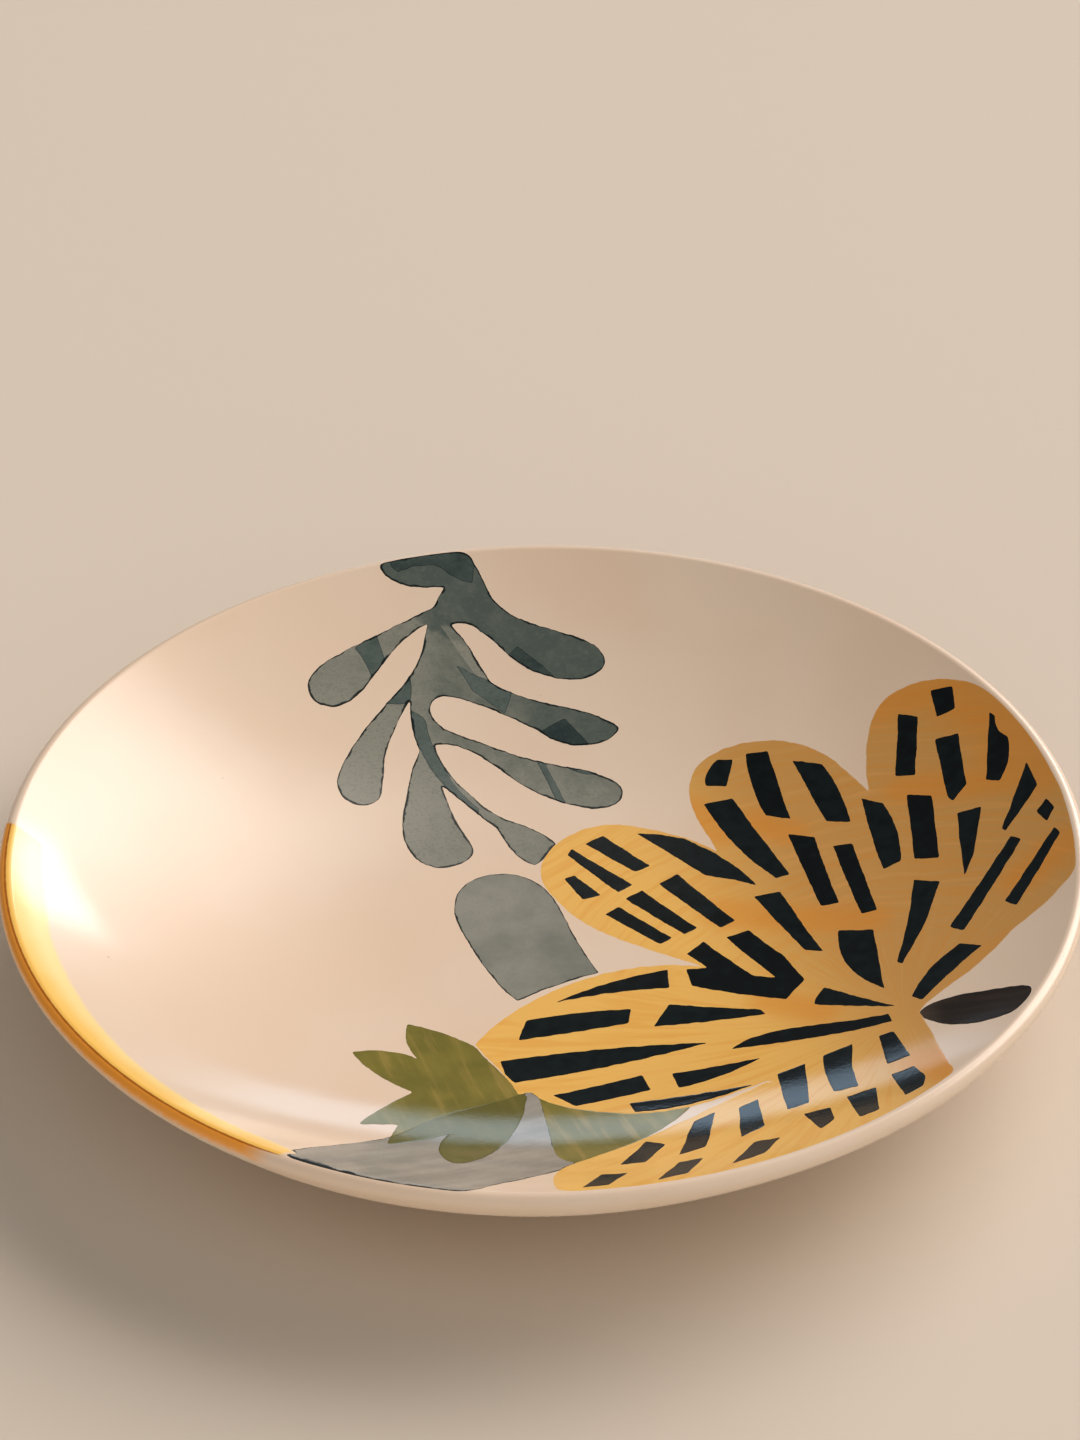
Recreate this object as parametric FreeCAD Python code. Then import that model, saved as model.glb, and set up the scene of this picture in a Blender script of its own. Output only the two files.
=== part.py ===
"""A 27 cm hand painted coupe plate: one thrown and fired clay body, its coats of
glaze, and the painted films that lie on the inside glaze.

Frame: millimetres, +Z up, origin on the plate's axis in the plane it stands on.
+Y is the side of the rim where the leaf branch grows from, and the flower opens
on the +X side.
"""

import FreeCAD, Part
import math
import os

# ---- driving dimensions ----------------------------------------------------

PLATE_R = 135.0          # outermost radius of the lip
PLATE_H = 36.0           # foot to the top of the lip
LIP_R = 2.3              # the lip is half round, glaze included
FLOOR_R = 700.0          # radius of the almost flat middle of the well
FLOOR_EDGE_R = 40.0      # where the middle runs into the rising wall
WALL_R = 230.0           # radius of the wall's curve, inside
OUTER_WALL_R = 270.0     # radius of the wall's curve, outside
BASE_T = 6.2             # clay and glaze at the centre
GLAZE_T = 0.4            # each coat of glaze
PAINT_T = 0.2            # each film of paint
PAINT_EDGE_R = 131.0     # the brush stops at the inner edge of the lip

FOOT_OUTER_R = 66.0
FOOT_INNER_R = 57.0
FOOT_LAND_OUTER_R = 64.0  # the flat, bare ring that the plate stands on
FOOT_LAND_INNER_R = 59.5
FOOT_SHOULDER_Z = 1.5    # top of the bevel outside the land
FOOT_INNER_BEVEL = 0.8   # how far the bevel inside the land comes in from the recess
FOOT_INNER_BEVEL_Z = 1.2
RECESS_RISE = 2.9        # how much the recess is higher at the foot than at the centre
GLAZE_GAP = 0.6          # the glaze is wiped back this far from the foot

BAND_INNER_R = 124.5     # yellow band round the left of the rim
BAND_SKIRT = 3.5         # how far it runs down the outer wall, as arc length
BAND_START = 178.0       # degrees round from +X
BAND_END = 243.5

PRISM_TOP = 60.0         # higher than any part of the plate
SEAM = math.radians(62)  # the surfaces close on an unpainted line

# ---- the section of the plate ----------------------------------------------

FLOOR_ANGLE = math.asin(FLOOR_EDGE_R / FLOOR_R)
WALL_CENTRE_R = (FLOOR_R - WALL_R) * math.sin(FLOOR_ANGLE)
LIP_ANGLE = math.asin((PLATE_R - LIP_R - WALL_CENTRE_R) / (WALL_R + LIP_R))
LIP_CENTRE_R = PLATE_R - LIP_R
LIP_CENTRE_Z = PLATE_H - LIP_R
WALL_CENTRE_Z = LIP_CENTRE_Z + (WALL_R + LIP_R) * math.cos(LIP_ANGLE)
FLOOR_CENTRE_Z = WALL_CENTRE_Z + (FLOOR_R - WALL_R) * math.cos(FLOOR_ANGLE)
WELL_Z = FLOOR_CENTRE_Z - FLOOR_R
RECESS_Z = WELL_Z - BASE_T
OUTER_CENTRE_R = LIP_CENTRE_R - (OUTER_WALL_R - LIP_R) * math.sin(LIP_ANGLE)
OUTER_CENTRE_Z = LIP_CENTRE_Z + (OUTER_WALL_R - LIP_R) * math.cos(LIP_ANGLE)


def section(r, z):
    """A point of the section, in the half plane where the surfaces close."""
    return FreeCAD.Vector(r * math.cos(SEAM), r * math.sin(SEAM), z)


def floor_point(angle, lift):
    """On the middle of the well, lifted off the glaze by lift."""
    radius = FLOOR_R - lift
    return section(radius * math.sin(angle), FLOOR_CENTRE_Z - radius * math.cos(angle))


def wall_point(angle, lift):
    """On the rising wall of the well, lifted off the glaze by lift."""
    radius = WALL_R - lift
    r = WALL_CENTRE_R + radius * math.sin(angle)
    return section(r, WALL_CENTRE_Z - radius * math.cos(angle))


def lip_point(angle, lift):
    """Round the lip, from the well side at LIP_ANGLE over the top to the outside."""
    radius = LIP_R + lift
    r = LIP_CENTRE_R - radius * math.sin(angle)
    return section(r, LIP_CENTRE_Z + radius * math.cos(angle))


def outer_point(angle, lift):
    """On the outer wall, lifted outwards by lift."""
    radius = OUTER_WALL_R + lift
    r = OUTER_CENTRE_R + radius * math.sin(angle)
    return section(r, OUTER_CENTRE_Z - radius * math.cos(angle))


def outer_angle(r, lift):
    return math.asin((r - OUTER_CENTRE_R) / (OUTER_WALL_R + lift))


def recess_point(r, lift):
    """On the underside inside the foot, lifted downwards by lift."""
    radius = (FOOT_INNER_R**2 + RECESS_RISE**2) / (2 * RECESS_RISE)
    centre_z = RECESS_Z + radius
    radius = radius + lift
    return section(r, centre_z - math.sqrt(radius**2 - r**2))


def arc(point, start, end, lift):
    """The stretch of one of the curves above between two of its own values."""
    middle = (start + end) / 2
    curve = Part.Arc(point(start, lift), point(middle, lift), point(end, lift))
    return curve.toShape()


def line(start, end):
    return Part.LineSegment(start, end).toShape()


def turned(edges, start=0.0, sweep=360.0):
    """A closed section turned about the plate's axis."""
    face = Part.Face(Part.Wire(Part.__sortEdges__(edges)))
    axis = FreeCAD.Vector(0, 0, 1)
    centre = FreeCAD.Vector(0, 0, 0)
    if sweep < 360.0:
        face = face.rotated(centre, axis, start - math.degrees(SEAM))
    solid = face.revolve(centre, axis, sweep)
    return solid if solid.ShapeType == "Solid" else solid.Solids[0]


# ---- clay and glaze --------------------------------------------------------


def foot_edges():
    """The trimmed foot ring, from the outer wall down, across and up to the recess."""
    top = outer_point(outer_angle(FOOT_OUTER_R, -GLAZE_T), -GLAZE_T)
    land_outer = section(FOOT_LAND_OUTER_R, 0)
    land_inner = section(FOOT_LAND_INNER_R, 0)
    shoulder_outer = section(FOOT_OUTER_R, FOOT_SHOULDER_Z)
    shoulder_inner = section(FOOT_INNER_R + FOOT_INNER_BEVEL, FOOT_INNER_BEVEL_Z)
    recess = recess_point(FOOT_INNER_R, -GLAZE_T)
    return [
        line(top, shoulder_outer),
        line(shoulder_outer, land_outer),
        line(land_outer, land_inner),
        line(land_inner, shoulder_inner),
        line(shoulder_inner, recess),
    ]


def clay_body():
    """The one piece of clay: well, wall, lip and foot ring."""
    depth = -GLAZE_T
    foot_angle = outer_angle(FOOT_OUTER_R, depth)
    edges = [
        arc(floor_point, 0.0, FLOOR_ANGLE, depth),
        arc(wall_point, FLOOR_ANGLE, LIP_ANGLE, depth),
        arc(lip_point, LIP_ANGLE, LIP_ANGLE - math.pi, depth),
        arc(outer_point, LIP_ANGLE, foot_angle, depth),
        *foot_edges(),
        arc(recess_point, FOOT_INNER_R, 0.0, depth),
        line(recess_point(0.0, depth), floor_point(0.0, depth)),
    ]
    return turned(edges)


def inside_glaze():
    """The coat over the well and over the lip, to the lip's outer edge."""
    back = LIP_ANGLE - math.pi
    edges = [
        arc(floor_point, 0.0, FLOOR_ANGLE, 0.0),
        arc(wall_point, FLOOR_ANGLE, LIP_ANGLE, 0.0),
        arc(lip_point, LIP_ANGLE, back, 0.0),
        line(lip_point(back, 0.0), lip_point(back, -GLAZE_T)),
        arc(lip_point, back, LIP_ANGLE, -GLAZE_T),
        arc(wall_point, LIP_ANGLE, FLOOR_ANGLE, -GLAZE_T),
        arc(floor_point, FLOOR_ANGLE, 0.0, -GLAZE_T),
        line(floor_point(0.0, -GLAZE_T), floor_point(0.0, 0.0)),
    ]
    return turned(edges)


def outside_glaze():
    """The coat on the outer wall, from the lip down to the foot ring."""
    foot_angle = outer_angle(FOOT_OUTER_R + GLAZE_GAP, 0.0)
    inner_angle = outer_angle(FOOT_OUTER_R + GLAZE_GAP, -GLAZE_T)
    edges = [
        arc(outer_point, LIP_ANGLE, foot_angle, 0.0),
        line(outer_point(foot_angle, 0.0), outer_point(inner_angle, -GLAZE_T)),
        arc(outer_point, inner_angle, LIP_ANGLE, -GLAZE_T),
        line(outer_point(LIP_ANGLE, -GLAZE_T), outer_point(LIP_ANGLE, 0.0)),
    ]
    return turned(edges)


def recess_glaze():
    """The coat inside the foot ring, which the bare foot parts from the rest."""
    edge_r = FOOT_INNER_R - GLAZE_GAP
    edges = [
        arc(recess_point, 0.0, edge_r, 0.0),
        line(recess_point(edge_r, 0.0), recess_point(edge_r, -GLAZE_T)),
        arc(recess_point, edge_r, 0.0, -GLAZE_T),
        line(recess_point(0.0, -GLAZE_T), recess_point(0.0, 0.0)),
    ]
    return turned(edges)


def rim_band():
    """The yellow band: up the inside of the wall, over the lip and a little way down."""
    start = math.asin((BAND_INNER_R - WALL_CENTRE_R) / WALL_R)
    back = LIP_ANGLE - math.pi
    skirt = LIP_ANGLE - BAND_SKIRT / OUTER_WALL_R
    edges = [
        arc(wall_point, start, LIP_ANGLE, 0.0),
        arc(lip_point, LIP_ANGLE, back, 0.0),
        arc(outer_point, LIP_ANGLE, skirt, 0.0),
        line(outer_point(skirt, 0.0), outer_point(skirt, PAINT_T)),
        arc(outer_point, skirt, LIP_ANGLE, PAINT_T),
        arc(lip_point, back, LIP_ANGLE, PAINT_T),
        arc(wall_point, LIP_ANGLE, start, PAINT_T),
        line(wall_point(start, PAINT_T), wall_point(start, 0.0)),
    ]
    return turned(edges, BAND_START, BAND_END - BAND_START)


# ---- painted outlines ------------------------------------------------------
# Each row starts at a corner and runs as one smooth curve to the next row's start.
# Where an outline runs past PAINT_EDGE_R the film ends at the lip instead.

FLOWER = [
    [(85, 36), (85, 44), (86.5, 57), (91, 67), (100, 70), (110, 66.5), (119, 55.5),
     (125, 42), (129, 28)],
    [(132, 16)],
    [(134, 0)],
    [(132.5, -12), (127, -22), (120, -29), (113.5, -34), (110, -38), (101, -47),
     (93.5, -53)],
    [(88.5, -59), (90, -68), (91.5, -82)],
    [(93.5, -96)],
    [(80, -108)],
    [(62, -119)],
    [(42, -128)],
    [(20, -133)],
    [(4, -133.5), (1.5, -124), (3, -118), (9, -112), (21, -103), (36, -90.5)],
    [(53, -78), (45, -81.7), (38, -85.3), (31, -87.7), (22, -88.7), (12, -86.7),
     (3, -83.2), (-1.5, -79.5)],
    [(-3.7, -76.3)],
    [(-6.3, -78.3), (-9, -70.5), (-13, -62.5)],
    [(-16.8, -55.5), (-12, -47), (-5, -38.8), (5, -31), (17, -25.4), (30, -23.5)],
    [(39.3, -24.9), (30, -19), (20, -12.8), (10, -4.8), (3, 5), (-0.7, 14.5), (1.3, 24),
     (7.5, 31.4), (17, 35), (28.5, 32.3), (38, 27.6)],
    [(45, 21.5), (40.5, 35.5), (38.7, 46), (42, 56.8), (50.5, 61.8), (61, 61.8),
     (71.5, 56.5), (79, 47)],
]

LEAF_BRANCH = [
    [(-48, 125), (-44, 121.3), (-39.5, 119), (-33, 118.6)],
    [(-27.2, 119.3), (-29, 115.3)],
    [(-30, 113), (-39.5, 106.5), (-51, 98), (-60, 90), (-63.5, 82.5), (-61.3, 77),
     (-56, 76.2), (-51, 80), (-45.3, 89.5), (-39, 100)],
    [(-31.7, 107.3), (-33, 99), (-36, 90), (-42, 80), (-47.7, 70), (-53, 57), (-54.4, 50),
     (-52.5, 43.3), (-48, 40.9), (-43.8, 43.3), (-42.3, 50), (-42, 60), (-39.5, 71.5)],
    [(-36, 81), (-35.3, 73)],
    [(-33, 63.3), (-34.7, 57), (-36.5, 42), (-36.8, 31), (-34, 22.5), (-28.8, 17.7),
     (-22, 18.8), (-18.2, 23.5), (-20.5, 31.5), (-24.5, 42.5)],
    [(-26.7, 50.3), (-21.5, 45), (-17, 39.5)],
    [(-12, 33.8), (-9.6, 27.8), (-6.5, 22.3)],
    [(-2.3, 18.8)],
    [(3, 24)],
    [(3.5, 27.5), (-3.5, 34.3), (-11, 38.8), (-19.5, 48), (-26.3, 58.3)],
    [(-28.8, 66), (-22.5, 65.7), (-15.5, 61.3), (-7, 53), (0, 47.3), (8, 43.3), (15.5, 41.7),
     (20.2, 44.3), (21, 49.5), (17.3, 54), (6, 58.8), (-5, 62.4), (-19, 68.8),
     (-28, 73.8), (-30.3, 78.8), (-28.5, 83), (-23, 83.2), (-13, 79.2), (-1, 72),
     (5, 67.8), (11, 66.5), (18, 68.5), (20.7, 72), (17, 76), (7.5, 80.3),
     (-8, 85.7)],
    [(-14, 89.4), (-18, 97.3), (-23, 105.5)],
    [(-25, 107.7), (-21.5, 108.3), (-15, 104.6), (-4.7, 94.7), (3.5, 90.9), (12.5, 90.6),
     (17.4, 95), (15.3, 100.7), (7.5, 105.5), (-6, 110.7), (-12.5, 115.5), (-16.5, 123)],
    [(-21.5, 130)],
    [(-24, 133)],
]

LEAF_OVERLAPS = [
    [[(-51.5, 97)], [(-45.5, 103)], [(-42.5, 93)], [(-46.5, 88), (-49, 93.5)]],
    [[(-43, 79)], [(-36, 90), (-35.4, 86)], [(-36, 80)]],
    [[(-37, 78), (-34.3, 68), (-30, 57), (-23, 46)], [(-17, 37.5)],
     [(-16.7, 42), (-22.5, 50), (-27.3, 60)], [(-31, 72), (-33.5, 77)]],
    [[(-2, 71), (2, 74)], [(6, 76.8), (9.5, 72)], [(13.5, 65)], [(4, 64)]],
    [[(-2.2, 62)], [(0, 62), (3.5, 52)], [(7.3, 41)], [(4.3, 42), (2, 50)]],
    [[(5, 60.5)], [(17, 56.5)], [(14, 55), (9.5, 56)]],
    [[(-10, 98)], [(-6.7, 101.7)], [(-1.5, 97)], [(4, 91)], [(-4, 92)]],
    [[(-24, 95)], [(-14, 89.5)], [(-8, 86)], [(-10, 78)], [(-19, 86)]],
    [[(-47, 126)], [(-40, 121.8), (-33, 124.6)], [(-28, 125), (-24, 122.3)], [(-19, 121)],
     [(-18, 134)], [(-40, 134)]],
]

GREY_ARCH = [
    [(-6.7, -37), (-12, -29), (-18, -16), (-21.3, -7), (-22.8, 2), (-20.7, 10), (-15, 14.6),
     (-7, 14.9), (0, 9.7), (4.5, -0.5), (9, -14)],
    [(13.5, -25.6), (3, -30.6)],
]

GREEN_LEAF = [
    [(-33.2, -47.7), (-27, -49.7), (-20.5, -53.5)],
    [(-17, -56.3)],
    [(-4.5, -79), (-5.7, -89), (-8.3, -99.5), (-15, -111.5), (-20, -114.4), (-23.5, -110.5),
     (-23.6, -103)],
    [(-21.7, -98), (-27.7, -102.3)],
    [(-35.7, -106), (-35, -101.5)],
    [(-33.7, -95)],
    [(-42.7, -96.4), (-38.7, -88.7)],
    [(-30.7, -78.3), (-39.7, -71)],
    [(-46, -61.7), (-41, -60.2), (-36, -60.3)],
    [(-30, -63.2), (-32.8, -56.5)],
]

GREEN_FROND = [
    [(-2, -78), (0, -92), (1.5, -104), (3.5, -111.5), (7, -114)],
    [(12, -113)],
    [(24, -100), (29, -94)],
    [(34, -86)],
    [(20, -80)],
]

SLATE_GROUND = [
    [(-60, -119), (-46, -109), (-35, -101.7), (-25, -90), (-12, -81.7)],
    [(-3.5, -76)],
    [(6, -80)],
    [(12, -112), (3, -117.8), (-8, -124.7)],
    [(-20, -132)],
    [(-42, -129)],
]

DARK_LEAF = [
    [(88, -60), (90.5, -57.3), (96.5, -55.8), (106, -57.9), (113, -61)],
    [(114.3, -63), (112, -67.5)],
    [(108.5, -71.5), (104, -72), (97, -70.2), (91, -65)],
]

# The black brush marks of each petal. Most are four sided, so a row is one corner.

STROKES_TOP = [
    [[(94.5, 61.5)], [(99.5, 58.3)], [(97, 37.7)], [(92, 39.5)]],
    [[(103.3, 66)], [(109, 65)], [(109, 57)], [(104, 56)]],
    [[(103, 48.8)], [(109, 48.3)], [(109.2, 29)], [(105.2, 24.2)], [(104, 27)]],
    [[(117.2, 52)], [(118.5, 49.8), (118.7, 44.8)], [(120.9, 41), (120.3, 33.5)],
     [(117.2, 26)], [(113.9, 28.3)]],
    [[(124.3, 29.8)], [(125.9, 19.5)], [(116.6, 6.6)], [(115.6, 8)]],
    [[(127.3, 13.5)], [(128.8, 9)], [(126.3, 4.4)], [(124.3, 10)]],
    [[(117.5, 4.3)], [(119.8, 1.5)], [(102.4, -28.5)], [(99.3, -25)]],
    [[(127.6, 1.5)], [(128.8, -1.7)], [(115.5, -24.5)], [(113, -21)]],
    [[(94.2, 31.6)], [(100.5, 28.7)], [(100, 4)], [(94, 6.2)]],
    [[(105.8, 19.5)], [(112, 19)], [(108.3, 2)], [(104.9, -6.5)]],
    [[(82.8, 34.5)], [(88.3, 30.3), (90.4, 22)], [(90.6, 6.8)], [(86, 4.7)], [(84.5, 16)]],
    [[(93, -1.8)], [(99.2, -5.3)], [(94, -21)], [(87, -36)], [(85.8, -34.5), (89.5, -20)]],
    [[(101, -33.2)], [(106, -36.8), (97, -45.5)], [(90, -54)], [(87.7, -51.3), (93, -41)]],
]

STROKES_UPPER = [
    [[(46.5, 57.4)], [(50.9, 57)], [(48.5, 47)], [(43, 48), (43.6, 53)]],
    [[(54, 58.3)], [(60, 58.3)], [(64.5, 31.2)], [(58, 34), (55.5, 44)]],
    [[(66.2, 53.3)], [(73.7, 50.2), (77, 41)], [(79.6, 26)], [(73.4, 28)]],
    [[(42.3, 41.2)], [(50, 42.3)], [(63, 9.5)], [(59.3, 8.6), (49, 25)]],
    [[(63.3, 25.6)], [(70, 23)], [(74.3, -5)], [(69.7, -5.3)]],
    [[(74.3, 18.3)], [(79.4, 17.7)], [(83.3, -11)], [(79.2, -11.3)]],
    [[(53.3, 2.2)], [(60, 3.3)], [(69, -24.2)], [(64.5, -22.5)]],
    [[(73.1, -16.3)], [(81.6, -18.5)], [(82, -45.2), (75, -34)]],
]

STROKES_MIDDLE = [
    [[(24.3, 31), (31, 30)], [(37, 27.7), (45, 20.5)], [(54.5, 6.5)], [(49, 9.7)],
     [(41.3, 12.5), (33, 21.8)]],
    [[(10.8, 27.3)], [(15.5, 30.6)], [(27.7, 17.3)], [(23.5, 15.2)]],
    [[(6.2, 22.8)], [(7.3, 25.5)], [(22.8, 10)], [(19, 6.8)]],
    [[(5.2, 13)], [(7.8, 14.7)], [(14.7, 6)], [(10, 4.3)]],
    [[(29.3, 10)], [(34.4, 13.7)], [(48.4, -7)], [(44.2, -9.4)]],
    [[(20.7, 4.3)], [(25, 7.7)], [(38.7, -9)], [(35, -11.3)]],
    [[(15.3, -1.8)], [(19, 1.2)], [(32.2, -12.5)], [(29, -15)]],
    [[(45.4, -13.5)], [(51.3, -11.2)], [(59.5, -24)], [(63.7, -34.7)], [(58.5, -42.4)],
     [(36, -32.7)], [(35, -25.7)], [(40.3, -25.4)], [(35.3, -19.3)], [(39.8, -14.5)],
     [(51.3, -30.3)], [(56.7, -32.3)]],
]

STROKES_LEFT = [
    [[(2, -38), (13, -31.3)], [(30.5, -25.4)], [(30.7, -33), (20, -33.7)]],
    [[(-4.7, -45), (8, -42)], [(21.1, -41)], [(20.3, -47)], [(-6.5, -53.4)]],
    [[(30.3, -39.6)], [(52.3, -45.2)], [(53.4, -47.7)], [(26, -49)]],
    [[(-10.9, -62.6), (7, -58.6), (25, -57)], [(39.4, -57.6), (15, -65.6)],
     [(-7.4, -72.4)], [(-9.6, -68.5)]],
    [[(1.5, -78.3)], [(22.8, -70.2)], [(24.6, -77.6)], [(7, -83.8)]],
    [[(29.6, -70.5)], [(51.2, -67), (42, -73.2)], [(31, -77.7)]],
    [[(19.3, -83.3)], [(48.7, -79.4), (37, -84.8), (28, -87.3)], [(20.5, -88)]],
    [[(44, -61.6), (50, -57.2), (62, -55.4)], [(81.7, -56.5)], [(82.4, -60.6)],
     [(74, -61.3)]],
    [[(68, -39.3)], [(84.3, -54.3)], [(65, -46.4), (66, -42.5)]],
]

STROKES_LOWER = [
    [[(78.5, -66)], [(82, -65.2)], [(84.7, -79)], [(79, -81)]],
    [[(65, -70.5)], [(72.4, -67.3)], [(71.3, -79)], [(71.8, -89)], [(66, -89.7)],
     [(64.8, -79)]],
    [[(54, -76)], [(60.9, -72.8)], [(60.3, -93)], [(55, -95)]],
    [[(44.2, -90.3)], [(49, -87)], [(49.6, -101.7)], [(43.8, -106.5)]],
    [[(33.7, -95)], [(39, -91)], [(36, -109.5)], [(29.5, -113)]],
    [[(22.7, -103.5)], [(27, -106)], [(22, -115.7)], [(16.3, -116.3)]],
    [[(79.3, -86.7)], [(84.8, -84.7)], [(86.6, -91.5)], [(85.5, -96.7)], [(81, -99.7)]],
    [[(68.4, -93.5)], [(75.5, -91.3)], [(75, -104)], [(70.3, -106.3)]],
    [[(58.2, -98.5)], [(64.6, -97.3)], [(65, -104.3)], [(61.5, -108.7)]],
    [[(46.5, -110)], [(52.5, -109.5)], [(48.5, -117.7)], [(40.5, -122)]],
    [[(29.5, -117)], [(35, -116)], [(31, -124.7)], [(24, -127.5)]],
    [[(12, -121.5)], [(18, -121.5)], [(13.5, -128.6)], [(7.5, -129.6)]],
]

# ---- painted films ---------------------------------------------------------


def outline_edge(points):
    """A line through two points, an arc through three, a smooth curve through more."""
    spots = [FreeCAD.Vector(x, y, 0) for x, y in points]
    if len(spots) == 2:
        return Part.LineSegment(*spots).toShape()
    if len(spots) == 3:
        return Part.Arc(*spots).toShape()
    curve = Part.BSplineCurve()
    curve.interpolate(spots)
    return curve.toShape()


def prism(rows):
    """An outline drawn in plan and carried straight up through the plate."""
    starts = [row[0] for row in rows]
    ends = starts[1:] + starts[:1]
    edges = [outline_edge(row + [end]) for row, end in zip(rows, ends)]
    return Part.Face(Part.Wire(edges)).extrude(FreeCAD.Vector(0, 0, PRISM_TOP))


def paint_layer(number):
    """The space of one coat of paint all over the well: 0 on the glaze, 1 on coat 0."""
    bottom = number * PAINT_T
    top = bottom + PAINT_T

    def edge_angle(lift):
        return math.asin((PAINT_EDGE_R - WALL_CENTRE_R) / (WALL_R - lift))

    edges = [
        arc(floor_point, 0.0, FLOOR_ANGLE, bottom),
        arc(wall_point, FLOOR_ANGLE, edge_angle(bottom), bottom),
        line(wall_point(edge_angle(bottom), bottom), wall_point(edge_angle(top), top)),
        arc(wall_point, edge_angle(top), FLOOR_ANGLE, top),
        arc(floor_point, FLOOR_ANGLE, 0.0, top),
        line(floor_point(0.0, top), floor_point(0.0, bottom)),
    ]
    return turned(edges)


def film(layer, outline, without=()):
    """One painted area: the layer inside an outline, less what is painted beside it."""
    shape = layer.common(prism(outline))
    for other in without:
        shape = shape.cut(prism(other))
    return shape.Solids


def overlap(layer, first, second, without=()):
    """A second pass of the brush, only where it crosses an area already painted."""
    shape = layer.common(prism(first)).common(prism(second))
    for other in without:
        shape = shape.cut(prism(other))
    return shape.Solids


def marks(layer, outlines):
    """Brush marks that stand apart from each other, kept as separate solids."""
    solids = []
    for outline in outlines:
        solids += film(layer, outline)
    return solids


def painted_films():
    first = paint_layer(0)
    second = paint_layer(1)
    leaf_overlaps = []
    for patch in LEAF_OVERLAPS:
        leaf_overlaps += overlap(second, LEAF_BRANCH, patch, [FLOWER])
    return {
        "flower_wash": film(first, FLOWER),
        "leaf_branch": film(first, LEAF_BRANCH, [FLOWER]),
        "leaf_overlaps": leaf_overlaps,
        "grey_arch": film(first, GREY_ARCH, [FLOWER]),
        "green_leaf": film(first, GREEN_LEAF, [FLOWER]),
        "green_frond": film(first, GREEN_FROND, [FLOWER]),
        "green_overlap": overlap(second, GREEN_LEAF, SLATE_GROUND, [FLOWER]),
        "slate_ground": film(first, SLATE_GROUND, [FLOWER, GREEN_LEAF, GREEN_FROND]),
        "dark_leaf": film(first, DARK_LEAF, [FLOWER]),
        "strokes_top_petal": marks(second, STROKES_TOP),
        "strokes_upper_petal": marks(second, STROKES_UPPER),
        "strokes_middle_petal": marks(second, STROKES_MIDDLE),
        "strokes_left_petal": marks(second, STROKES_LEFT),
        "strokes_lower_petal": marks(second, STROKES_LOWER),
    }


def main():
    nodes = {
        "clay_body": [clay_body()],
        "inside_glaze": [inside_glaze()],
        "outside_glaze": [outside_glaze()],
        "recess_glaze": [recess_glaze()],
        "rim_band": [rim_band()],
        **painted_films(),
    }
    os.makedirs("parts", exist_ok=True)
    for name, solids in nodes.items():
        shape = solids[0] if len(solids) == 1 else Part.makeCompound(solids)
        shape.exportStep(f"parts/{name}.step")
        volume = sum(solid.Volume for solid in solids)
        print(f"{name:22s} {len(solids):3d} solids {volume:12.2f} mm3 {shape.isValid()}")


main()
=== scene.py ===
"""The looks of a hand painted ceramic plate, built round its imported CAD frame.

The clay and the glazes are turned again from the plate's section, finer than in the frame and a
little uneven, as a thrown plate is. Each paint film takes its outline from its own node in the
frame, and is meshed again with a soft, slightly wandering edge. Lengths are millimetres up to the
point where a mesh is made.
"""

import math

import bmesh
import bpy
import numpy as np
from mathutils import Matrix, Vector
from mathutils.geometry import delaunay_2d_cdt


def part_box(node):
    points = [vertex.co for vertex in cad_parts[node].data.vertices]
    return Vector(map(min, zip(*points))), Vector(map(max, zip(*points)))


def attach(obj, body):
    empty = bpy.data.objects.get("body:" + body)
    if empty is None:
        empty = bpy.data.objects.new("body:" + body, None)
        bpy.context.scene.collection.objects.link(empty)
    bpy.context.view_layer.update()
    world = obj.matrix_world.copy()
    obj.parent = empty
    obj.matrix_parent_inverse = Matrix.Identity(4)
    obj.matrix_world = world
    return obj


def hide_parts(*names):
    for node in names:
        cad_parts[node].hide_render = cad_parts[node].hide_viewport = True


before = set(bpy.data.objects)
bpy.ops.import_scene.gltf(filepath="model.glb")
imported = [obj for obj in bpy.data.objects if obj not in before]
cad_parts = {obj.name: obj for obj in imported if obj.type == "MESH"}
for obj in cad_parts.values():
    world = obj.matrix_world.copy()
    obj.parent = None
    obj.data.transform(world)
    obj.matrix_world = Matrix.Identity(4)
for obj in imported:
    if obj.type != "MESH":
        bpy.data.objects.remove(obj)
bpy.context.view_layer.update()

MM = 0.001
BODY = "root"

# ---- the section of the plate ----------------------------------------------

PLATE_R = round(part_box("inside_glaze")[1].x / MM, 1)
PLATE_H = round(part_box("inside_glaze")[1].z / MM, 1)
LIP_R = 2.3
FLOOR_R = 700.0
FLOOR_EDGE_R = 40.0
WALL_R = 230.0
OUTER_WALL_R = 270.0
BASE_T = 6.2
GLAZE_T = 0.4
FOOT_OUTER_R = 66.0
FOOT_INNER_R = 57.0
RECESS_RISE = 2.9
GLAZE_GAP = 0.6

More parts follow.
